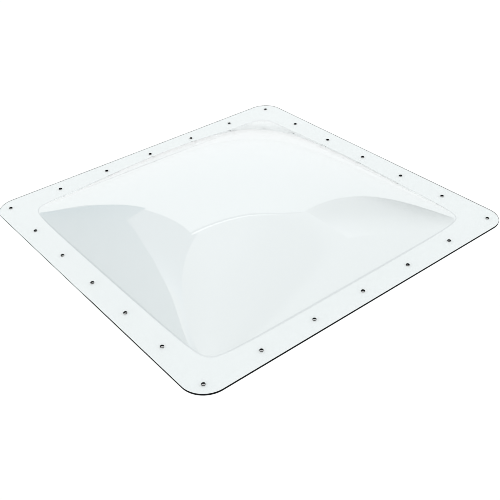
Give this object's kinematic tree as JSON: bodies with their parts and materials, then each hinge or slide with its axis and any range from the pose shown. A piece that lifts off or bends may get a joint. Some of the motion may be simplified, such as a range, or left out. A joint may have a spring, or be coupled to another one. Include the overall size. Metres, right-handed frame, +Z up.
{
  "type": "rv skylight",
  "caption": "Clear square skylight dome for a caravan or camper roof: one moulded sheet with a blown crown, a creased base and a flat drilled fixing flange with rounded corners.",
  "frame": {"origin": "centre of the square flange, on its underside, which is the plane that seats on the roof", "axes": "+Z up and out of the roof, through the top of the crown; +X and +Y along the two pairs of straight flange edges"},
  "size_m": [0.6604, 0.6604, 0.096],
  "materials": {
    "clear_sheet": "clear polished polycarbonate sheet, very faint cool tint"
  },
  "bodies": {
    "root": {"skylight_dome": "clear_sheet"}
  },
  "joints": []
}
